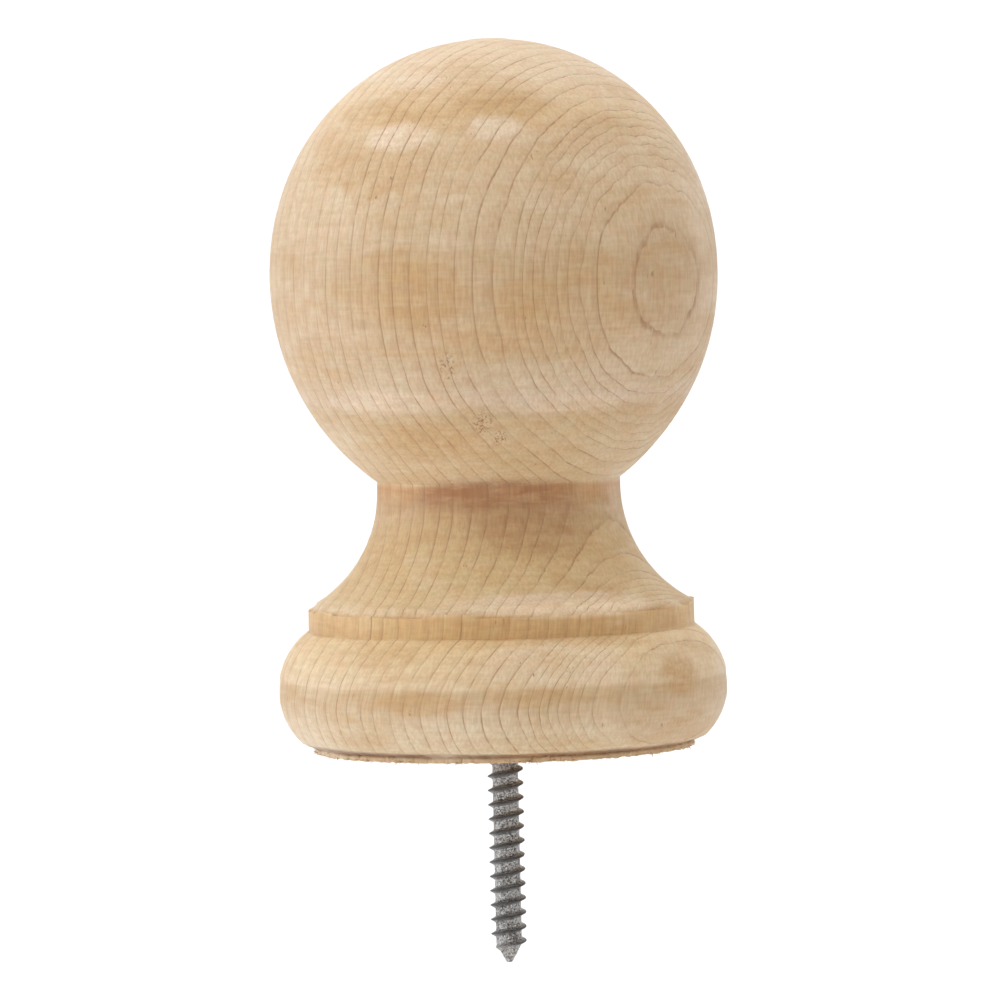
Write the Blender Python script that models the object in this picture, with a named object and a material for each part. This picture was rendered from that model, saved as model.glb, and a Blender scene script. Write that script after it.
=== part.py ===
"""Ball-top fence post cap: a wooden turning with a double-ended dowel screw in its base.

The cap is turned from one block. The upper half of the screw is driven into a pilot hole in the
middle of its underside, and the lower half goes into the end grain of the post. The frame's
origin is where the screw's axis meets the underside, and +Z is up.
"""

import math

import bmesh
import bpy
from mathutils import Vector

MM = 0.001

# Turned body: radii from the turning axis, heights above the underside.
BALL_R = 39.5 * MM
BALL_Z = 83.7 * MM
SIDE_R = 45.0 * MM  # the ball's sides are a larger arc than its crown, which makes it a little tall
CROWN_ANGLE = math.radians(22)  # where the side arc meets the round crown; the top comes at 125 mm
NECK_R = 21.5 * MM
COVE_R = 23.2 * MM
COVE_Z = 45.7 * MM
COVE_END_R = 33.6 * MM
FILLET_R = 33.9 * MM
FILLET_TOP_Z = 24.9 * MM
FILLET_FOOT_Z = 21.1 * MM
ROLL_DIA = 79.4 * MM  # 3 1/8 in, the widest part
ROLL_R = 12.7 * MM  # the round of the roll's edge
ROLL_Z = 10.9 * MM
ROLL_END_Z = 1.6 * MM
LIP_R = 33.5 * MM  # the saw lip left where the turning was parted off
LIP_TOP_Z = 1.1 * MM

# Dowel screw, 1/4 in x 3 in with 10 threads to the inch, right-handed and pointed at both ends.
SCREW_HALF = 38.1 * MM
CREST_R = 3.175 * MM
CORE_R = 2.3 * MM
SHANK_R = 2.6 * MM
SHANK_HALF = 1.0 * MM  # the plain middle, half in the cap and half in the post
PITCH = 2.54 * MM
THREAD_DEPTH = CREST_R - CORE_R
THREAD_FOOT = 0.5 * MM  # half width of a thread at the core
THREAD_EDGE = 0.08 * MM  # half width of its crest
RUN_OUT = 2.0 * MM  # length over which the thread grows out of the shank
POINT = 3.3 * MM  # length over which the core tapers to a blunt point
BLUNT = 0.2  # the point's radius, as a share of the core's
THREAD_END = 0.8 * MM  # where the thread starts, from the tip

GAP = 0.3 * MM  # between the screw and the hole that it has cut
CUTTER_START = 2.5 * MM  # how far the hole's cutter reaches below the underside

BODY_STEPS = 64
SCREW_STEPS = 18
WELD = 1e-6
SHARP_ANGLE = math.radians(32)

PINE = ("bare_pine", (0.74, 0.53, 0.32), 0.62, 0.0)
ZINC = ("dull_zinc", (0.30, 0.29, 0.29), 0.45, 0.9)


def clear_scene():
    for obj in list(bpy.data.objects):
        bpy.data.objects.remove(obj, do_unlink=True)


def material(name, colour, roughness, metallic):
    made = bpy.data.materials.new(name)
    made.use_nodes = True
    shader = made.node_tree.nodes["Principled BSDF"]
    shader.inputs["Base Color"].default_value = (*colour, 1.0)
    shader.inputs["Roughness"].default_value = roughness
    shader.inputs["Metallic"].default_value = metallic
    return made


def object_from(name, bm, finish):
    bmesh.ops.recalc_face_normals(bm, faces=bm.faces)
    mesh = bpy.data.meshes.new(name)
    bm.to_mesh(mesh)
    bm.free()
    mesh.materials.append(finish)
    mesh.shade_smooth()
    mesh.set_sharp_from_angle(angle=SHARP_ANGLE)
    obj = bpy.data.objects.new(name, mesh)
    bpy.context.scene.collection.objects.link(obj)
    return obj


def chain(bm, points):
    """A row of joined vertices in the plane y = 0, as the geometry that a spin takes."""
    verts = [bm.verts.new((r, 0.0, z)) for r, z in points]
    edges = [bm.edges.new(pair) for pair in zip(verts, verts[1:])]
    return verts + edges


def arc(centre, radius, start, end, count):
    """Points (r, z) on an arc, from angle start to end in radians, both ends included."""
    r, z = centre
    angles = [start + (end - start) * i / (count - 1) for i in range(count)]
    return [(r + radius * math.cos(a), z + radius * math.sin(a)) for a in angles]


# ---- turned body ----


def body_outline():
    """The cap's outline from the top of the ball, down its outside, to the middle of its underside."""
    side_r = BALL_R - SIDE_R
    ball_foot = -math.acos((NECK_R - side_r) / SIDE_R)
    crown_z = BALL_Z - side_r * math.tan(CROWN_ANGLE)
    crown_r = SIDE_R + side_r / math.cos(CROWN_ANGLE)
    cove_r = NECK_R + COVE_R
    cove_foot = 2 * math.pi - math.acos((COVE_END_R - cove_r) / COVE_R)
    roll_r = ROLL_DIA / 2 - ROLL_R
    roll_start = math.asin((FILLET_FOOT_Z - ROLL_Z) / ROLL_R)
    roll_end = math.asin((ROLL_END_Z - ROLL_Z) / ROLL_R)

    crown = arc((0.0, crown_z), crown_r, math.pi / 2, CROWN_ANGLE, 10)[:-1]
    crown[0] = (0.0, crown_z + crown_r)
    ball_upper = arc((side_r, BALL_Z), SIDE_R, CROWN_ANGLE, 0.0, 4)[:-1]
    ball_lower = arc((side_r, BALL_Z), SIDE_R, 0.0, ball_foot, 8)
    cove = arc((cove_r, COVE_Z), COVE_R, math.pi, cove_foot, 8)
    fillet = [(FILLET_R, FILLET_TOP_Z), (FILLET_R, FILLET_FOOT_Z)]
    roll_upper = arc((roll_r, ROLL_Z), ROLL_R, roll_start, 0.0, 6)[:-1]
    roll_lower = arc((roll_r, ROLL_Z), ROLL_R, 0.0, roll_end, 6)
    lip = [(LIP_R, LIP_TOP_Z), (LIP_R, 0.0), (0.0, 0.0)]
    return crown + ball_upper + ball_lower + cove + fillet + roll_upper + roll_lower + lip


def turned_body(finish):
    bm = bmesh.new()
    bmesh.ops.spin(
        bm,
        geom=chain(bm, body_outline()),
        cent=Vector(),
        axis=Vector((0, 0, 1)),
        angle=2 * math.pi,
        steps=BODY_STEPS,
        use_merge=True,
    )
    bmesh.ops.remove_doubles(bm, verts=bm.verts, dist=WELD)
    return object_from("turned_body", bm, finish)


# ---- dowel screw and the hole that it cuts ----


def ease(x):
    x = max(0.0, min(1.0, x))
    return x * x * (3 - 2 * x)


def core_radius(z):
    """The screw's radius between its threads: plain shank, threaded core, then the blunt point."""
    from_tip = max(0.0, SCREW_HALF - abs(z))
    side = SHANK_R + (CORE_R - SHANK_R) * ease((abs(z) - SHANK_HALF) / RUN_OUT)
    return side * min(1.0, BLUNT + (1 - BLUNT) * from_tip / POINT)


def crest_radius(z):
    """The thread's outer radius: it grows out of the shank and dies away at the point."""
    from_tip = max(0.0, SCREW_HALF - abs(z))
    full_r = core_radius(z) + THREAD_DEPTH * ease((from_tip - THREAD_END) / POINT)
    grown = ease((abs(z) - SHANK_HALF) / RUN_OUT)
    return core_radius(z) + (full_r - core_radius(z)) * grown


def threaded_rod(bottom, top, gap):
    """A helical strip one pitch high, wound from below bottom to above top and drawn in at both ends.

    gap grows it on every side, which makes the cutter for the screw's own hole. Along the axis it
    grows by less than gap, because the thread's sloping flanks also move outwards.
    """
    flank = math.atan2(THREAD_FOOT - THREAD_EDGE, THREAD_DEPTH)
    grown = gap * math.tan(math.pi / 4 - flank / 2)
    foot = THREAD_FOOT + grown
    edge = THREAD_EDGE + grown
    start = (math.floor(bottom / PITCH) - 1.5) * PITCH
    turns = math.ceil((top - start) / PITCH) + 1
    profile = [-foot, -edge, edge, foot, PITCH - foot]
    crests = [False, True, True, False, False]

    bm = bmesh.new()
    on_crest = bm.verts.layers.int.new("on_crest")
    strip = chain(bm, [(CORE_R, start + height) for height in profile])
    for vert, crest in zip(strip, crests):
        vert[on_crest] = crest
    bmesh.ops.spin(
        bm,
        geom=strip,
        cent=Vector(),
        axis=Vector((0, 0, 1)),
        dvec=Vector((0, 0, PITCH / SCREW_STEPS)),
        angle=2 * math.pi * turns,
        steps=SCREW_STEPS * turns,
    )
    for vert in bm.verts:
        z = vert.co.z
        if not bottom < z < top:
            vert.co = (0.0, 0.0, bottom if z <= bottom else top)
            continue
        radius = crest_radius(z) if vert[on_crest] else core_radius(z)
        vert.co.xy = vert.co.xy.normalized() * (radius + gap)
    bmesh.ops.remove_doubles(bm, verts=bm.verts, dist=WELD)
    return bm


def dowel_screw(finish):
    return object_from("dowel_screw", threaded_rod(-SCREW_HALF, SCREW_HALF, 0.0), finish)


def cut_screw_hole(body, finish):
    cutter = object_from("hole_cutter", threaded_rod(-CUTTER_START, SCREW_HALF + GAP, GAP), finish)
    cutter.hide_render = True
    cutter.display_type = "WIRE"
    cut = body.modifiers.new("screw_hole", "BOOLEAN")
    cut.operation = "DIFFERENCE"
    cut.solver = "EXACT"
    cut.object = cutter


def build():
    clear_scene()
    pine = material(*PINE)
    zinc = material(*ZINC)
    body = turned_body(pine)
    dowel_screw(zinc)
    cut_screw_hole(body, pine)


build()
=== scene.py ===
import math
import random

import bmesh
import bpy
from mathutils import Matrix, Vector, noise


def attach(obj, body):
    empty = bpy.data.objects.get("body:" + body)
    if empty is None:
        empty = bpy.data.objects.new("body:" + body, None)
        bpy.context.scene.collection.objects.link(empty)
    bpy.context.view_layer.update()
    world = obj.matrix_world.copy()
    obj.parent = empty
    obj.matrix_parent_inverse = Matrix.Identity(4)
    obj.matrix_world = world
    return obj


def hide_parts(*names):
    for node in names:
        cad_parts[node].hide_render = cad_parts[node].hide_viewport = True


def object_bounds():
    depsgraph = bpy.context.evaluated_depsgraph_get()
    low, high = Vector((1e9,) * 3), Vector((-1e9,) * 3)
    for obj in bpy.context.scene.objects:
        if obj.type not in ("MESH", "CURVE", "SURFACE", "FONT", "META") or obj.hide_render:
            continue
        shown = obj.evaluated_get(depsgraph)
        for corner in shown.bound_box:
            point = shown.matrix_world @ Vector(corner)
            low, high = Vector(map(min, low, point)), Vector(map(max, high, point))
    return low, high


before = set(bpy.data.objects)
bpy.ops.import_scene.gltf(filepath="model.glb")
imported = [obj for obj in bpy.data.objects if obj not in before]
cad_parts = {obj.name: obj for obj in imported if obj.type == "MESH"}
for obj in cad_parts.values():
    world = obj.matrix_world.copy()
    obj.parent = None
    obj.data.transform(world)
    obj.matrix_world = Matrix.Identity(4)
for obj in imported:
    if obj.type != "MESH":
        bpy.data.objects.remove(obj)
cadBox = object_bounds()
mm = 0.001
weldGap = 0.001 * mm
rng = random.Random(11)
print("loaded the packed post cap:", sorted(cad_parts))


# small helpers for node trees

def srgb(red, green, blue):
    def lin(v):
        v = v / 255
        return v / 12.92 if v < 0.04045 else ((v + 0.055) / 1.055) ** 2.4
    return (lin(red), lin(green), lin(blue), 1.0)


def addNode(tree, kind, settings=None, inputs=None):
    made = tree.nodes.new("ShaderNode" + kind)
    for name, value in (settings or {}).items():
        setattr(made, name, value)
    for name, value in (inputs or {}).items():
        if isinstance(value, bpy.types.NodeSocket):
            tree.links.new(value, made.inputs[name])
        else:
            made.inputs[name].default_value = value
    return made


def doMath(tree, operation, a, b=0.0):
    return addNode(tree, "Math", {"operation": operation}, {0: a, 1: b}).outputs[0]


def doVector(tree, operation, a, b, output="Vector"):
    return addNode(tree, "VectorMath", {"operation": operation}, {0: a, 1: b}).outputs[output]


def times(tree, first, *others):
    for other in others:
        first = doMath(tree, "MULTIPLY", first, other)
    return first


def swing(tree, value, middle, amount):
    # how far a noise stands from its middle, scaled
    return times(tree, doMath(tree, "SUBTRACT", value, middle), amount)


def fade(tree, value, start, end, low=0.0, high=1.0):
    settings = {"interpolation_type": "SMOOTHSTEP"}
    inputs = {"Value": value, "From Min": start, "From Max": end, "To Min": low, "To Max": high}
    return addNode(tree, "MapRange", settings, inputs).outputs[0]


def mixColour(tree, factor, a, b, blend="MIX"):
    settings = {"data_type": "RGBA", "blend_type": blend}
    return addNode(tree, "Mix", settings, {0: factor, 6: a, 7: b}).outputs[2]


def stretch(tree, vector, scale, location=(0, 0, 0), rotation=(0, 0, 0)):
    inputs = {"Vector": vector, "Location": location, "Rotation": rotation, "Scale": scale}
    return addNode(tree, "Mapping", None, inputs).outputs[0]


def noiseAt(tree, vector, scale, detail=2.0, roughness=0.5):
    inputs = {"Vector": vector, "Scale": scale, "Detail": detail, "Roughness": roughness}
    return addNode(tree, "TexNoise", None, inputs).outputs[0]


def newMaterial(name, roughness, metallic, sheen=0.0):
    made = bpy.data.materials.new(name)
    made.use_nodes = True
    shader = made.node_tree.nodes["Principled BSDF"]
    shader.inputs["Roughness"].default_value = roughness
    shader.inputs["Metallic"].default_value = metallic
    shader.inputs["Sheen Weight"].default_value = sheen
    return made, made.node_tree, shader


# bare softwood: year rings cut through by the turning, fibres, pores, burnished and torn zones

wood = {
    "barkSide": math.radians(51.5),  # which way the bark side faces, from -Y towards +X
    "lean": math.radians(1.9),       # how far the trunk leaned from the turning axis
    "twist": math.radians(9),        # how far the bark side has turned round at the neck
    "pithDistance": 280 * mm,        # from the turning axis to the middle of the tree
    "outerRing": 38.5,               # mm from the turning axis to the first ring under the bark side
    # width of each year in mm, from the bark side inwards
    "years": [2.3, 1.3, 1.0, 1.1, 1.0, 1.1, 1.2, 1.1, 2.2, 2.6, 2.6, 2.5, 1.7, 2.8, 3.0, 2.5, 3.4,
              2.5, 3.3, 2.6, 3.0, 3.2, 3.6, 3.9, 4.2, 3.4, 2.8, 3.1, 3.4, 2.6, 2.9],
    "wander": 1.1 * mm,              # how far the rings sway
    "kink": 2.4 * mm,                # how deep their dents are
    "raggedEdge": 1.1 * mm,          # how far the edge of a zone of tone wanders up and down
    "lateWood": srgb(166, 127, 88),
    "streak": srgb(196, 164, 128),
    "blush": srgb(255, 236, 228),
    "pore": srgb(128, 92, 58),
    "patchStrength": 0.75,
    "streakStrength": 0.34,
    "roughness": 0.62,
    "sheen": 0.12,
}

# what the lathe, the sandpaper and the saw left at each height, with painted shade: the dark step above the
# sawn lip (0.95 to 1.6 mm) is partly a burnt saw cut and partly painted shade, the darker band just under
# the ridge on the roll (about 12.5 mm) is painted shade, and the darker band under the ball's overhang
# (about 40 to 47 mm) is partly burnish and partly painted shade: (mm above the underside, colour)
heightTonesAndShade = [
    (0.0, (222, 196, 156)), (0.7, (212, 184, 142)), (0.95, (124, 84, 42)), (1.6, (124, 84, 42)),
    (1.9, (212, 193, 157)), (6.0, (217, 199, 168)), (10.0, (207, 184, 149)), (12.5, (204, 179, 139)),
    (13.0, (222, 201, 166)), (21.0, (226, 201, 153)), (21.4, (206, 171, 117)), (24.9, (212, 179, 126)),
    (25.6, (222, 200, 164)), (27.0, (217, 194, 148)), (34.0, (210, 183, 134)), (40.0, (201, 173, 127)),
    (43.5, (192, 160, 116)), (45.8, (198, 156, 105)), (46.7, (198, 152, 103)), (47.3, (214, 191, 150)),
    (55.5, (208, 186, 149)), (59.5, (201, 177, 139)), (62.5, (211, 192, 167)), (65.5, (207, 187, 156)),
    (73.0, (204, 179, 144)), (86.0, (200, 174, 136)), (97.0, (214, 192, 158)), (105.0, (215, 191, 155)),
    (107.8, (220, 197, 161)), (112.0, (220, 192, 147)), (118.0, (228, 206, 171)), (125.0, (227, 201, 162)),
]

# patches on the turned faces: centre and reach in mm, and how they shift the colour
patches = [
    {"at": (-16.5, -29.0, 107.8), "reach": (8.5, 9.0, 3.2), "tone": "pale", "weight": 1.3},
    {"at": (0.5, -31.0, 109.0), "reach": (6.0, 8.0, 3.0), "tone": "pale", "weight": 1.1},
    {"at": (-15.0, -26.0, 62.3), "reach": (18.0, 14.0, 3.0), "tone": "pale", "weight": 0.7},
    {"at": (12.0, -27.0, 61.5), "reach": (13.0, 12.0, 2.8), "tone": "pale", "weight": 0.5},
    {"at": (-14.0, -21.0, 118.0), "reach": (8.0, 9.0, 2.6), "tone": "pale", "weight": 0.9},
    {"at": (3.0, -29.0, 113.5), "reach": (12.0, 10.0, 4.0), "tone": "gold", "weight": 0.9},
    {"at": (-20.0, -20.0, 112.0), "reach": (10.0, 12.0, 3.4), "tone": "gold", "weight": 0.7},
    {"at": (-13.0, -37.0, 81.0), "reach": (11.0, 10.0, 10.0), "tone": "gold", "weight": 0.9},
    {"at": (6.0, -39.0, 79.0), "reach": (9.0, 10.0, 5.0), "tone": "gold", "weight": 0.8},
    {"at": (-2.0, -38.0, 73.0), "reach": (14.0, 9.0, 5.0), "tone": "gold", "weight": 0.6},
    {"at": (-26.0, -18.0, 107.0), "reach": (10.0, 12.0, 4.0), "tone": "gold", "weight": 0.5},
    {"at": (19.0, -24.0, 108.0), "reach": (10.0, 12.0, 4.0), "tone": "gold", "weight": 0.5},
    {"at": (-14.0, -36.0, 10.8), "reach": (12.0, 8.0, 3.0), "tone": "gold", "weight": 0.9},
    {"at": (8.0, -36.0, 17.0), "reach": (18.0, 12.0, 5.0), "tone": "pale", "weight": 0.7},
    {"at": (-10.0, -28.0, 55.0), "reach": (14.0, 14.0, 4.5), "tone": "gold", "weight": 0.8},
    {"at": (9.0, -38.0, 70.5), "reach": (9.0, 9.0, 2.2), "tone": "gold", "weight": 0.6},
    {"at": (31.0, -25.0, 14.0), "reach": (6.0, 8.0, 5.0), "tone": "gold", "weight": 1.0},
    {"at": (6.0, -39.0, 11.5), "reach": (8.0, 6.0, 2.4), "tone": "gold", "weight": 0.7},
    {"at": (-22.0, -30.0, 18.5), "reach": (14.0, 12.0, 3.0), "tone": "gold", "weight": 0.6},
    # the dark patches under the ball's overhang are partly burnish from the tool and partly painted shade of
    # the ball
    {"at": (-1.0, -22.0, 45.3), "reach": (22.0, 15.0, 3.8), "tone": "burnAndShade", "weight": 1.0},
    {"at": (6.0, -21.0, 41.5), "reach": (14.0, 14.0, 9.0), "tone": "burnAndShade", "weight": 0.6},
    {"at": (12.0, -32.0, 23.0), "reach": (26.0, 14.0, 3.6), "tone": "tan", "weight": 0.4},
    {"at": (27.0, -20.0, 23.6), "reach": (10.0, 10.0, 3.2), "tone": "tan", "weight": 0.3},
    # the pale band along the cove's lower edge, just above the fillet, is partly paler torn wood and partly
    # a painted highlight
    {"at": (12.0, -29.0, 27.0), "reach": (28.0, 14.0, 2.4), "tone": "pale", "weight": 1.0},
    {"at": (17.0, -30.0, 25.9), "reach": (25.0, 14.0, 1.9), "tone": "tornAndHighlight", "weight": 1.0},
    {"at": (-8.3, -35.4, 68.6), "reach": (1.7, 3.0, 3.6), "tone": "speck", "weight": 1.0},
    {"at": (-2.5, -32.0, 58.2), "reach": (2.2, 3.0, 3.4), "tone": "speck", "weight": 1.0},
    {"at": (0.2, -30.5, 55.6), "reach": (2.0, 3.0, 2.0), "tone": "speck", "weight": 0.9},
    {"at": (-12.0, -36.6, 75.4), "reach": (0.5, 3.0, 0.9), "tone": "speck", "weight": 1.0},
    {"at": (-16.2, -35.8, 9.3), "reach": (0.6, 3.0, 0.9), "tone": "speck", "weight": 1.0},
    {"at": (11.2, -37.4, 15.6), "reach": (0.5, 3.0, 1.1), "tone": "speck", "weight": 1.0},
]
patchTones = {
    "pale": srgb(232, 214, 188), "tornAndHighlight": srgb(246, 226, 190), "gold": srgb(196, 158, 104),
    "burnAndShade": srgb(158, 108, 68), "tan": srgb(172, 128, 74), "speck": srgb(134, 90, 44),
}


def patchMask(tree, coords, tone):
    total = 0.0
    for patch in patches:
        if patch["tone"] != tone:
            continue
        scale = [1 / (mm * reach) for reach in patch["reach"]]
        centre = [-place / reach for place, reach in zip(patch["at"], patch["reach"])]
        near = stretch(tree, coords, scale, centre)
        ball = addNode(tree, "TexGradient", {"gradient_type": "SPHERICAL"}, {"Vector": near}).outputs[1]
        soft = fade(tree, ball, 0.0, 0.55, 0.0, patch["weight"])
        total = doMath(tree, "MAXIMUM", soft, total)
    return total


def alongGrain(tree, coords, height):
    # X points from the pith to the bark side, and Z runs up the trunk
    lean = Matrix.Rotation(-wood["lean"], 3, "Y")
    turn = lean @ Matrix.Rotation(math.pi / 2 - wood["barkSide"], 3, "Z")
    centre = turn @ Vector((0, 0, -cap["ballZ"] * mm))
    neck = fade(tree, height, 66 * mm, 44 * mm, 0.0, -wood["twist"])
    foot = fade(tree, height, 8 * mm, 24 * mm, 0.4, 1.0)
    twisted = addNode(tree, "VectorRotate", {"rotation_type": "Z_AXIS"},
                      {"Vector": coords, "Angle": times(tree, neck, foot)}).outputs[0]
    return stretch(tree, twisted, (1, 1, 1), centre, turn.to_euler())


def yearPhase(tree, grain):
    # distance from the pith, dented as the tree grew, then turned into the count of years
    wave = noiseAt(tree, stretch(tree, grain, (0.35, 1.0, 0.14)), 48, 1.0)
    dents = noiseAt(tree, stretch(tree, grain, (0.16, 1.0, 0.07)), 120, 3.0, 0.45)
    folded = doMath(tree, "ABSOLUTE", doMath(tree, "SUBTRACT", dents, 0.5))
    flat = addNode(tree, "VectorMath", {"operation": "MULTIPLY_ADD"},
                   {0: grain, 1: (1, 1, 0), 2: (wood["pithDistance"], 0, 0)}).outputs[0]
    reach = doVector(tree, "LENGTH", flat, (0, 0, 0), "Value")
    depth = doMath(tree, "SUBTRACT", reach, wood["pithDistance"])
    depth = doMath(tree, "ADD", depth, swing(tree, wave, 0.5, wood["wander"]))
    depth = doMath(tree, "ADD", depth, swing(tree, folded, 0.08, wood["kink"]))

    edges = [wood["outerRing"]]
    for width in wood["years"]:
        edges.append(edges[-1] - width)
    edges.reverse()
    span = edges[-1] - edges[0]
    share = addNode(tree, "MapRange", None, {
        "Value": depth, "From Min": edges[0] * mm, "From Max": edges[-1] * mm}).outputs[0]
    curve = addNode(tree, "FloatCurve", None, {"Value": share})
    points = curve.mapping.curves[0].points
    for i, edge in enumerate(edges[1:-1], 1):
        points.new((edge - edges[0]) / span, i / (len(edges) - 1))
    for point in points:
        point.handle_type = "VECTOR"
    curve.mapping.update()
    age = times(tree, curve.outputs[0], len(edges) - 1)
    return doMath(tree, "FRACT", age)


def toneByHeight(tree, coords, height):
    # each zone's edge is soft and a little ragged
    ragged = noiseAt(tree, stretch(tree, coords, (1, 1, 2.5)), 90, 3.0, 0.6)
    place = doMath(tree, "ADD", height, swing(tree, ragged, 0.5, wood["raggedEdge"]))
    topLevel = heightTonesAndShade[-1][0]
    share = doMath(tree, "DIVIDE", place, topLevel * mm)
    ramp = addNode(tree, "ValToRGB", None, {"Fac": share})
    stops = ramp.color_ramp.elements
    while len(stops) < len(heightTonesAndShade):
        stops.new(0.5)
    for stop, (level, tone) in zip(stops, heightTonesAndShade):
        stop.position = level / topLevel
        stop.color = srgb(*tone)
    return ramp.outputs[0]


def blotches(tree, coords, clouds, colour):
    # cloudy change of tone, bands left by the tool and the sandpaper, then the placed patches
    gold, pale = patchTones["gold"], patchTones["pale"]
    colour = mixColour(tree, fade(tree, clouds, 0.42, 0.75, 0.0, 0.4), colour, gold)
    colour = mixColour(tree, fade(tree, clouds, 0.5, 0.25, 0.0, 0.35), colour, pale)
    bands = noiseAt(tree, stretch(tree, coords, (0.3, 0.3, 1.3)), 190, 3.0, 0.65)
    colour = mixColour(tree, fade(tree, bands, 0.52, 0.72, 0.0, 0.42), colour, gold)
    colour = mixColour(tree, fade(tree, bands, 0.47, 0.27, 0.0, 0.26), colour, pale)
    edge = noiseAt(tree, stretch(tree, coords, (0.7, 0.7, 2.2)), 260, 3.0, 0.6)
    dots = noiseAt(tree, coords, 2300, 2.0, 0.6)
    wornEdge = fade(tree, edge, 0.33, 0.6, 0.5, 1.0)
    loneDots = fade(tree, dots, 0.53, 0.62)
    for tone, target in patchTones.items():
        broken = loneDots if tone == "speck" else wornEdge
        mask = times(tree, patchMask(tree, coords, tone), broken, wood["patchStrength"])
        colour = mixColour(tree, mask, colour, target)
    return colour


def yearRings(tree, coords, grain, height, colour):
    # a slow darkening, then the thin dark late wood, broken where fibres lie over it
    phase = yearPhase(tree, grain)
    late = times(tree, fade(tree, phase, 0.86, 0.97), fade(tree, phase, 1.0, 0.985))
    early = fade(tree, phase, 0.35, 0.95, 0.0, 0.10)
    wide = noiseAt(tree, stretch(tree, grain, (1, 1, 0.3)), 110, 2.0)
    gaps = noiseAt(tree, stretch(tree, grain, (1, 1, 0.22)), 900, 2.0)
    depth = addNode(tree, "SeparateXYZ", None, {0: grain}).outputs["X"]
    shown = times(tree, late, fade(tree, wide, 0.35, 0.62, 0.2, 0.9), fade(tree, gaps, 0.35, 0.6, 0.35, 1.0),
                  fade(tree, depth, -34 * mm, 12 * mm, 0.5, 1.0))
    # the fillet's upright face is smoother, so only a few rings show on it
    above = fade(tree, height, 20.8 * mm, 21.6 * mm)
    below = fade(tree, height, 25.9 * mm, 25.2 * mm)
    spots = noiseAt(tree, stretch(tree, coords, (1, 1, 0.2)), 170, 1.0)
    few = addNode(tree, "Mix", None, {
        0: times(tree, above, below), 2: 1.0, 3: fade(tree, spots, 0.5, 0.66, 0.3, 1.3)}).outputs[0]
    colour = mixColour(tree, early, colour, wood["lateWood"], "MULTIPLY")
    return mixColour(tree, times(tree, shown, few), colour, wood["lateWood"])


def bareWood():
    made, tree, shader = newMaterial("bareWood", wood["roughness"], 0.0, wood["sheen"])
    coords = addNode(tree, "TexCoord").outputs["Object"]
    height = addNode(tree, "SeparateXYZ", None, {0: coords}).outputs["Z"]
    grain = alongGrain(tree, coords, height)
    clouds = noiseAt(tree, stretch(tree, coords, (1, 1, 2.2)), 42, 3.0, 0.6)
    colour = toneByHeight(tree, coords, height)
    colour = blotches(tree, coords, clouds, colour)
    colour = yearRings(tree, coords, grain, height, colour)

    # fine fibres along the grain, tool lines round the turning, a few short dark pores
    fibres = noiseAt(tree, stretch(tree, grain, (1, 1, 0.11)), 2100, 2.0, 0.65)
    tool = noiseAt(tree, stretch(tree, coords, (0.07, 0.07, 1)), 1500, 2.0, 0.65)
    cross = noiseAt(tree, stretch(tree, coords, (1, 1, 1.6)), 620, 3.0, 0.7)
    fine = doMath(tree, "ADD", times(tree, fibres, 0.5), times(tree, tool, 0.25))
    fine = doMath(tree, "ADD", fine, times(tree, cross, 0.25))
    streak = fade(tree, fine, 0.36, 0.64, 0.0, wood["streakStrength"])
    colour = mixColour(tree, streak, colour, wood["streak"], "MULTIPLY")
    pink = noiseAt(tree, stretch(tree, coords, (1, 1, 1.3)), 330, 1.0)
    colour = mixColour(tree, fade(tree, pink, 0.3, 0.7, 0.0, 0.4), colour, wood["blush"], "MULTIPLY")
    pores = noiseAt(tree, stretch(tree, grain, (1, 1, 0.3)), 1500, 1.0)
    poreMask = times(tree, fade(tree, pores, 0.735, 0.78), fade(tree, clouds, 0.45, 0.6))
    colour = mixColour(tree, times(tree, poreMask, 0.6), colour, wood["pore"])
    tree.links.new(colour, shader.inputs["Base Color"])

    tree.links.new(fade(tree, clouds, 0.25, 0.75, 0.5, 0.7), shader.inputs["Roughness"])
    relief = doMath(tree, "SUBTRACT", fine, times(tree, poreMask, 0.5))
    bump = addNode(tree, "Bump", None, {"Strength": 0.5, "Distance": 0.05 * mm, "Height": relief})
    tree.links.new(bump.outputs[0], shader.inputs["Normal"])
    return made


# the turned cap

cap = {
    "ballR": 39.5, "ballZ": 83.7, "lowerBallZ": 83.4, "sideR": 45.0, "crownAngle": math.radians(22),
    "neckR": 21.5, "coveR": 23.2, "coveZ": 46.1, "coveEndR": 33.6,
    "filletR": 34.1, "filletTop": 25.7, "filletFoot": 21.35,
    "rollMax": 39.68, "rollR": 12.7, "rollZ": 10.9, "rollEnd": 1.75,
    "lipR": 33.45, "lipTop": 0.95,
    "holeR": 3.27, "holeTop": 38.6,
    "spacing": 0.78,   # mm between rows on the turned faces
    "steps": 384,
    # depth in mm of each mark that the tools left
    "waveDepth": 0.035, "warpDepth": 0.10, "passStep": 0.16,
    "chipDrop": 0.95, "chipInset": 0.25,
    "lipTear": 0.20, "lipInset": 0.08, "lipWaver": 0.20, "lipHang": 0.08,
    "sawDepth": 0.05,
}


def arcRow(centre, radius, start, end, spacing):
    count = max(2, round(abs(end - start) * radius / spacing))
    angles = [start + (end - start) * i / count for i in range(count + 1)]
    return [(centre[0] + radius * math.cos(a), centre[1] + radius * math.sin(a)) for a in angles]


def lineRow(start, end, count):
    return [(start[0] + (end[0] - start[0]) * i / count, start[1] + (end[1] - start[1]) * i / count)
            for i in range(count + 1)]


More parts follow.
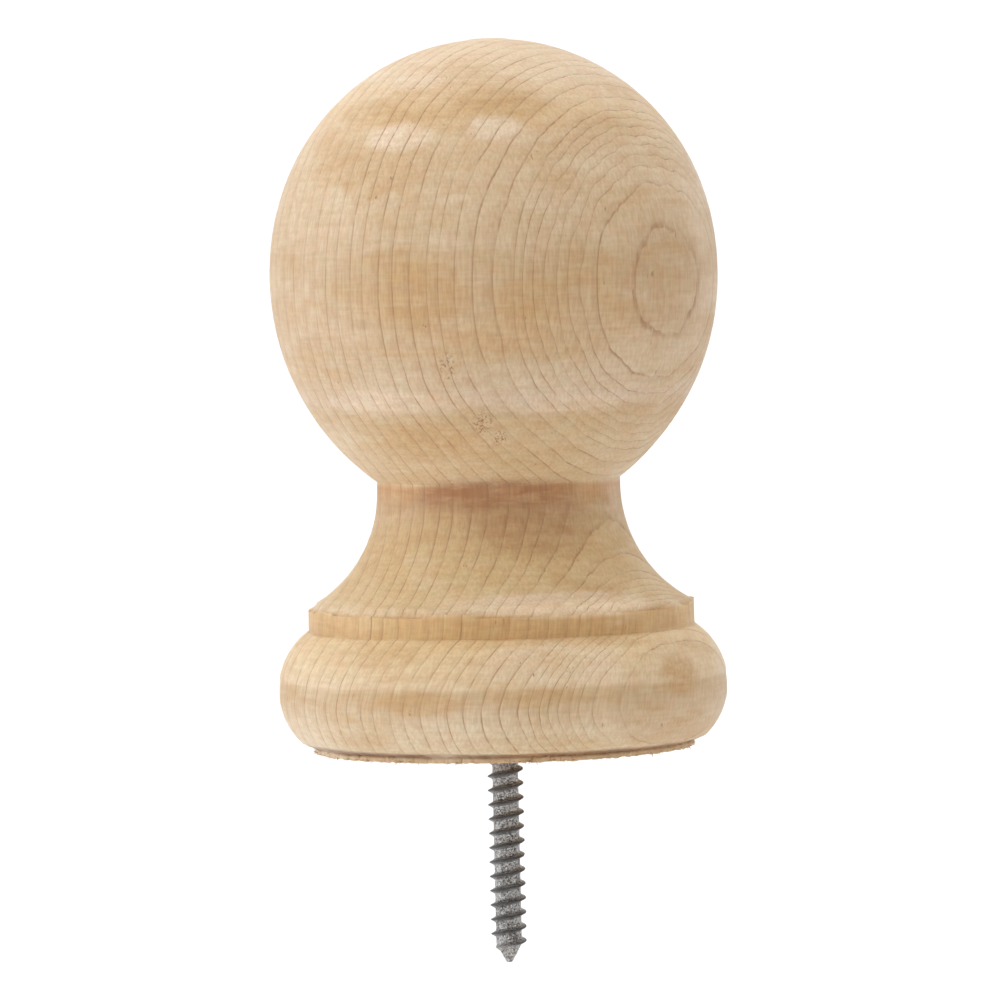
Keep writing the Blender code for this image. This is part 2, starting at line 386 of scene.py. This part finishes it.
def capOutline():
    c = cap
    gap = c["spacing"]
    sideC = c["ballR"] - c["sideR"]
    crownZ = c["ballZ"] - sideC * math.tan(c["crownAngle"])
    crownR = c["sideR"] + sideC / math.cos(c["crownAngle"])
    foot = -math.acos((c["neckR"] - sideC) / c["sideR"])
    coveC = c["neckR"] + c["coveR"]
    coveEnd = 2 * math.pi - math.acos((c["coveEndR"] - coveC) / c["coveR"])
    rollC = c["rollMax"] - c["rollR"]
    rollStart = math.asin((c["filletFoot"] - c["rollZ"]) / c["rollR"])
    rollStop = math.asin((c["rollEnd"] - c["rollZ"]) / c["rollR"])

    rows = arcRow((0, crownZ), crownR, math.pi / 2, c["crownAngle"], gap)[:-1]
    rows += arcRow((sideC, c["ballZ"]), c["sideR"], c["crownAngle"], 0, gap)
    rows += arcRow((sideC, c["lowerBallZ"]), c["sideR"], 0, foot, gap)
    rows += arcRow((coveC, c["coveZ"]), c["coveR"], math.pi, coveEnd, gap * 0.8)
    rows += lineRow((c["filletR"] - 0.08, c["filletTop"] + 0.12), (c["filletR"], c["filletTop"]), 1)
    rows += lineRow((c["filletR"], c["filletTop"]), (c["filletR"], c["filletFoot"]), 6)[1:]
    rows += arcRow((rollC, c["rollZ"]), c["rollR"], rollStart, rollStop, gap * 0.85)
    lastR = rows[-1][0]
    rows += lineRow((lastR, c["rollEnd"]), (c["lipR"], c["lipTop"]), 3)[1:]
    rows += lineRow((c["lipR"], c["lipTop"]), (c["lipR"], 0.0), 3)[1:]
    rows += lineRow((c["lipR"], 0.0), (c["lipR"] - 2.4, 0.0), 4)[1:]
    rows += lineRow((c["lipR"] - 2.4, 0.0), (c["holeR"] + 1.6, 0.0), 9)[1:]
    rows += lineRow((c["holeR"] + 1.6, 0.0), (c["holeR"], 0.0), 3)[1:]
    rows += lineRow((c["holeR"], 0.0), (c["holeR"], c["holeTop"]), 8)[1:]
    rows.append((0.0, c["holeTop"]))
    rows[0] = (0.0, crownZ + crownR)
    return rows


def bendGrid(across, up, placeAt):
    # a flat grid whose columns and rows are then bent into shape; spin would take minutes here
    bm = bmesh.new()
    bmesh.ops.create_grid(bm, x_segments=across, y_segments=up, size=0.5)
    for vert in bm.verts:
        column = round((vert.co.x + 0.5) * across)
        row = round((vert.co.y + 0.5) * up)
        vert.co = placeAt(column, row)
    bmesh.ops.remove_doubles(bm, verts=bm.verts, dist=weldGap)
    bmesh.ops.recalc_face_normals(bm, faces=bm.faces)
    return bm


def revolve(rows, steps):
    def placeAt(column, row):
        angle = 2 * math.pi * column / steps
        radius, height = rows[row]
        return Vector((radius * math.cos(angle), radius * math.sin(angle), height)) * mm
    return bendGrid(steps, len(rows) - 1, placeAt)


def smoothStep(low, high, value):
    x = min(1.0, max(0.0, (value - low) / (high - low)))
    return x * x * (3 - 2 * x)


def nearHeight(z, middle, reach):
    return 1 - smoothStep(0, reach, abs(z - middle))


def roughenCap(bm):
    # everything moves inwards or sideways only, so the cap keeps its size
    bm.normal_update()
    c = cap
    for vert in bm.verts:
        x, y, z = (v / mm for v in vert.co)
        radius = math.hypot(x, y)
        if radius < c["holeR"] + 0.2:
            continue
        out = Vector((x, y, 0)) / radius
        around = Vector((x, y, z))
        # the faint waves that the gouge leaves, and a little warp from drying
        waves = c["waveDepth"] * (noise.noise(Vector((0.02 * x, 0.02 * y, 0.9 * z))) - 0.6)
        warp = c["warpDepth"] * (noise.noise(around * 0.045 + Vector((7, 3, 1))) - 0.5)
        move = vert.normal * (waves + warp) if z > 1.0 else Vector()
        # a ridge where two passes of the gouge meet on the roll
        above = smoothStep(12.4, 13.1, z) * (1 - smoothStep(14.5, 17.5, z))
        if radius > c["filletR"] + 1.5:
            move -= out * c["passStep"] * (1 - above) * nearHeight(z, 11.8, 3.5)
        # torn and chipped corner between the cove and the fillet
        corner = nearHeight(z, c["filletTop"] + 0.1, 0.55)
        if radius > c["coveEndR"] - 1.2 and corner > 0:
            chip = noise.noise(around * 0.16) + 0.55 * noise.noise(around * 0.55)
            chip = smoothStep(-0.5, 0.8, chip - 0.4 * y / radius)
            move += Vector((0, 0, -c["chipDrop"] * chip * corner)) - out * c["chipInset"] * chip * corner
        # the sawn lip
        lip = 1 - smoothStep(1.3, 2.6, z)
        if radius > c["lipR"] - 2.5 and lip > 0:
            tear = noise.noise(around * 0.8) + 0.6 * noise.noise(around * 2.3)
            move += out * (c["lipTear"] * tear - c["lipInset"]) * lip
            hang = smoothStep(c["lipR"] - 2.4, c["lipR"] - 0.6, radius) * (1 - smoothStep(0.0, 1.0, z))
            waver = noise.noise(around * 1.1 + Vector((5, 0, 0))) + 0.6 * noise.noise(around * 2.9)
            move += Vector((0, 0, c["lipWaver"] * waver - c["lipHang"] * hang)) * lip
        # saw marks across the underside
        if z < 0.2:
            sawn = math.sin(1.9 * x + 1.5 * noise.noise(around * 0.08))
            flat = smoothStep(c["holeR"], c["holeR"] + 2, radius)
            rough = noise.noise(around * 0.9)
            move += Vector((0, 0, c["sawDepth"] * (1 + sawn + rough))) * flat
        vert.co += move * mm


def finishObject(bm, name, material, sharpAngle=35):
    mesh = bpy.data.meshes.new(name)
    bm.to_mesh(mesh)
    bm.free()
    mesh.materials.append(material)
    mesh.shade_smooth()
    mesh.set_sharp_from_angle(angle=math.radians(sharpAngle))
    made = bpy.data.objects.new(name, mesh)
    bpy.context.scene.collection.objects.link(made)
    return made


def turnCap(material):
    bm = revolve(capOutline(), cap["steps"])
    roughenCap(bm)
    made = finishObject(bm, "turnedCap", material)
    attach(made, "root")
    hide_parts("turned_body")
    print("turned the cap:", len(made.data.polygons), "faces")


# torn fibres along the sawn lip and round the screw's hole

fibre = {"lipCount": 620, "holeCount": 46, "thick": 0.075 * mm}


def addFibre(bm, root, direction, length, thick):
    side = direction.cross(Vector((0.3, 0.5, 0.8))).normalized()
    turn = Matrix((side, direction.cross(side), direction)).transposed().to_4x4()
    place = Matrix.Translation(root + direction * length * 0.4) @ turn
    bmesh.ops.create_cone(bm, cap_ends=True, segments=4, radius1=thick, radius2=thick * 0.15,
                          depth=length, matrix=place)


def tearFibres(material):
    bm = bmesh.new()
    for _ in range(fibre["lipCount"]):
        angle = rng.uniform(0, 2 * math.pi)
        out = Vector((math.cos(angle), math.sin(angle), 0))
        along = Vector((-out.y, out.x, 0))
        root = out * (cap["lipR"] - rng.uniform(0.0, 0.35)) * mm
        root.z = rng.choice((0.15, 0.25, 0.9, 1.2)) * mm
        aim = out * rng.uniform(0.1, 0.8) + along * rng.uniform(-1.3, 1.3)
        aim.z = rng.uniform(-0.7, 0.15)
        length = rng.uniform(0.35, 1.15) * mm
        addFibre(bm, root, aim.normalized(), length, fibre["thick"] * rng.uniform(0.6, 1.5))
    for _ in range(fibre["holeCount"]):
        angle = rng.uniform(0, 2 * math.pi)
        out = Vector((math.cos(angle), math.sin(angle), 0))
        root = out * (cap["holeR"] + rng.uniform(0.1, 0.9)) * mm
        aim = Vector((-out.y, out.x, 0)) * rng.uniform(-1, 1) - out * rng.uniform(-0.4, 0.3)
        aim.z = rng.uniform(-1.0, -0.3)
        length = rng.uniform(0.5, 1.5) * mm
        addFibre(bm, root, aim.normalized(), length, fibre["thick"] * rng.uniform(0.8, 1.7))
    bmesh.ops.recalc_face_normals(bm, faces=bm.faces)
    made = finishObject(bm, "tornFibres", material, 60)
    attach(made, "root")
    print("tore the fibres:", fibre["lipCount"] + fibre["holeCount"])


def fibreMaterial():
    made, tree, shader = newMaterial("tornWoodFibre", 0.8, 0.0, 0.15)
    coords = addNode(tree, "TexCoord").outputs["Object"]
    tint = noiseAt(tree, coords, 900, 2.0)
    colour = mixColour(tree, fade(tree, tint, 0.35, 0.65), srgb(150, 112, 70), srgb(214, 184, 140))
    tree.links.new(colour, shader.inputs["Base Color"])
    bump = addNode(tree, "Bump", None, {"Strength": 0.5, "Distance": 0.05 * mm, "Height": tint})
    tree.links.new(bump.outputs[0], shader.inputs["Normal"])
    return made


# the double-ended dowel screw

screw = {
    "half": 38.1, "crestR": 3.17, "coreR": 2.3, "shankR": 2.6, "shankHalf": 1.0,
    "pitch": 2.54, "foot": 0.58, "edge": 0.10, "runOut": 2.0,
    "point": 3.3, "blunt": 0.2, "threadEnd": 0.8, "steps": 56,
}


def coreRadius(z):
    s = screw
    fromTip = max(0.0, s["half"] - abs(z))
    side = s["shankR"] + (s["coreR"] - s["shankR"]) * smoothStep(0, s["runOut"], abs(z) - s["shankHalf"])
    return side * min(1.0, s["blunt"] + (1 - s["blunt"]) * fromTip / s["point"])


def crestRise(z):
    s = screw
    fromTip = max(0.0, s["half"] - abs(z))
    return (smoothStep(0, s["runOut"], abs(z) - s["shankHalf"])
            * smoothStep(s["threadEnd"], s["threadEnd"] + s["point"], fromTip))


def rollScrew(material):
    s = screw
    start = -(math.floor(s["half"] / s["pitch"]) + 1.5) * s["pitch"]
    turns = math.ceil((s["half"] - start) / s["pitch"]) + 1
    foot, edge, pitch = s["foot"], s["edge"], s["pitch"]
    # heights over one pitch, and how far up the thread's side each one stands
    profile = [(-foot, 0.0), (-(foot + edge) / 2, 0.42), (-edge, 0.96), (0.0, 1.0), (edge, 0.96),
               ((foot + edge) / 2, 0.42), (foot, 0.0), (foot + 0.35, -0.04), (pitch / 2, -0.05),
               (pitch - foot - 0.35, -0.04), (pitch - foot, 0.0)]
    depth = s["crestR"] - s["coreR"]

    def placeAt(column, row):
        height, up = profile[row]
        z = start + height + pitch * column / s["steps"]
        angle = 2 * math.pi * column / s["steps"]
        if abs(z) >= s["half"]:
            return Vector((0, 0, math.copysign(s["half"], z) * mm))
        out = Vector((math.cos(angle), math.sin(angle), 0))
        spot = out * 3 + Vector((0, 0, z))
        worn = 1 - 0.10 * smoothStep(0.1, 0.6, noise.noise(spot * 0.7)) - 0.06 * smoothStep(-30, -37, z)
        pits = 0.028 * noise.noise(spot * 2.6) + 0.018 * noise.noise(spot * 6.0)
        radius = min(coreRadius(z) + depth * crestRise(z) * up * worn + pits, s["crestR"])
        return (out * radius + Vector((0, 0, z))) * mm

    bm = bendGrid(s["steps"] * turns, len(profile) - 1, placeAt)
    made = finishObject(bm, "hangerScrew", material, 42)
    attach(made, "root")
    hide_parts("dowel_screw")
    print("rolled the screw:", len(made.data.polygons), "faces")


def dullZinc():
    made, tree, shader = newMaterial("dullZinc", 0.42, 0.85)
    coords = addNode(tree, "TexCoord").outputs["Object"]
    place = addNode(tree, "SeparateXYZ", None, {0: coords})
    blotch = noiseAt(tree, coords, 420, 3.0, 0.65)
    grit = noiseAt(tree, coords, 2700, 3.0, 0.75)
    flecks = noiseAt(tree, coords, 4300, 1.0)
    colour = mixColour(tree, fade(tree, blotch, 0.3, 0.7), srgb(74, 68, 65), srgb(136, 133, 130))
    colour = mixColour(tree, fade(tree, grit, 0.44, 0.6, 0.0, 0.85), colour, srgb(196, 195, 192))
    colour = mixColour(tree, fade(tree, grit, 0.47, 0.34, 0.0, 0.85), colour, srgb(42, 38, 37))
    colour = mixColour(tree, fade(tree, flecks, 0.64, 0.7), colour, srgb(248, 248, 248))
    # crests are darker, and the turns by the wood are brown with dust and rust
    x, y = place.outputs["X"], place.outputs["Y"]
    square = doMath(tree, "ADD", times(tree, x, x), times(tree, y, y))
    radius = doMath(tree, "SQRT", square)
    flank = fade(tree, radius, 2.4 * mm, 2.75 * mm)
    crest = fade(tree, radius, 2.78 * mm, 3.06 * mm, 0.0, 0.75)
    colour = mixColour(tree, times(tree, flank, 0.5), colour, srgb(80, 82, 90))
    colour = mixColour(tree, crest, colour, srgb(45, 45, 50))
    nearWood = fade(tree, place.outputs["Z"], -5 * mm, -1 * mm)
    rusty = times(tree, nearWood, fade(tree, blotch, 0.3, 0.55))
    colour = mixColour(tree, times(tree, rusty, 0.75), colour, srgb(86, 58, 42))
    tree.links.new(colour, shader.inputs["Base Color"])
    tree.links.new(fade(tree, grit, 0.3, 0.7, 0.3, 0.62), shader.inputs["Roughness"])
    dull = doMath(tree, "MAXIMUM", rusty, times(tree, flank, 0.8))
    tree.links.new(fade(tree, dull, 0.0, 1.0, 0.85, 0.3), shader.inputs["Metallic"])
    relief = doMath(tree, "ADD", grit, blotch)
    bump = addNode(tree, "Bump", None, {"Strength": 0.7, "Distance": 0.08 * mm, "Height": relief})
    tree.links.new(bump.outputs[0], shader.inputs["Normal"])
    return made


# floor, light and camera

studio = {
    "floorDrop": 25 * mm,    # below the screw's point
    "floorSize": 60.0,
    "floorGlow": 0.05,
    "skyRightBackTop": (0.47, 1.05, 1.68),
    "skyLeftFrontFloor": (0.28, 0.2, 0.2),
    "lightAim": (0, 0, 50 * mm),
    "softboxSize": (0.7, 0.9),
    "leftPlace": (-0.85, 0.0, 0.15),
    "leftPower": 3.1,
    "leftTint": (0.96, 1.03, 1.14),
    "upperPlace": (-0.6, -0.6, 0.45),
    "upperPower": 1.25,
    "upperTint": (1, 1, 1),
    "distance": 1.2,
    "lens": 245.0,
    "sensorWidth": 36,
    "height": math.radians(2.6),
    "roll": math.radians(-1.32),
    "aim": (0.18 * mm, 0, 43.7 * mm),
}


def layFloor():
    bm = bmesh.new()
    level = Matrix.Translation((0, 0, cadBox[0][2] - studio["floorDrop"]))
    bmesh.ops.create_grid(bm, x_segments=2, y_segments=2, size=studio["floorSize"] / 2, matrix=level)
    made, tree, shader = newMaterial("paleFloor", 0.9, 0.0)
    coords = addNode(tree, "TexCoord").outputs["Object"]
    tint = noiseAt(tree, coords, 3.0, 2.0)
    pale = mixColour(tree, tint, (0.93, 0.93, 0.93, 1), (0.95, 0.95, 0.95, 1))
    tree.links.new(pale, shader.inputs["Base Color"])
    shader.inputs["Emission Color"].default_value = (1, 1, 1, 1)
    shader.inputs["Emission Strength"].default_value = studio["floorGlow"]
    finishObject(bm, "studioFloor", made)


def addSoftbox(name, place, power, tint):
    data = bpy.data.lights.new(name, "AREA")
    data.energy = power
    data.color = tint
    data.shape = "RECTANGLE"
    data.size, data.size_y = studio["softboxSize"]
    made = bpy.data.objects.new(name, data)
    made.location = place
    toCap = Vector(studio["lightAim"]) - Vector(place)
    made.rotation_euler = toCap.to_track_quat("-Z", "Y").to_euler()
    bpy.context.scene.collection.objects.link(made)


def lightStudio():
    scene = bpy.context.scene
    scene.view_settings.view_transform = "Standard"
    world = bpy.data.worlds.new("softStudio")
    world.use_nodes = True
    scene.world = world
    tree = world.node_tree
    sky = tree.nodes["Background"]
    sky.inputs["Color"].default_value = (1, 1, 1, 1)
    # the tent's six sides glow by different amounts, blended by the square of each direction
    toward = addNode(tree, "TexCoord").outputs["Generated"]
    sides = 0.0
    for sign, glows in ((1, studio["skyRightBackTop"]), (-1, studio["skyLeftFrontFloor"])):
        part = doVector(tree, "MULTIPLY", toward, (sign,) * 3)
        part = doVector(tree, "MAXIMUM", part, (0, 0, 0))
        square = doVector(tree, "MULTIPLY", part, part)
        lit = doVector(tree, "DOT_PRODUCT", square, glows, "Value")
        sides = doMath(tree, "ADD", lit, sides)
    seen = addNode(tree, "LightPath").outputs["Is Camera Ray"]
    tree.links.new(doMath(tree, "MAXIMUM", sides, seen), sky.inputs["Strength"])
    addSoftbox("leftSoftbox", studio["leftPlace"], studio["leftPower"], studio["leftTint"])
    addSoftbox("upperSoftbox", studio["upperPlace"], studio["upperPower"], studio["upperTint"])


def placeCamera():
    data = bpy.data.cameras.new("camera")
    data.lens = studio["lens"]
    data.sensor_width = studio["sensorWidth"]
    data.clip_start = 0.05
    data.clip_end = 200
    made = bpy.data.objects.new("camera", data)
    bpy.context.scene.collection.objects.link(made)
    aim = Vector(studio["aim"])
    back = Vector((0, -math.cos(studio["height"]), math.sin(studio["height"])))
    place = aim + back * studio["distance"]
    look = (aim - place).to_track_quat("-Z", "Y").to_matrix().to_4x4()
    made.matrix_world = Matrix.Translation(place) @ look @ Matrix.Rotation(studio["roll"], 4, "Z")
    bpy.context.scene.camera = made


placeCamera()
turnCap(bareWood())
tearFibres(fibreMaterial())
rollScrew(dullZinc())
layFloor()
lightStudio()
print("set the studio")
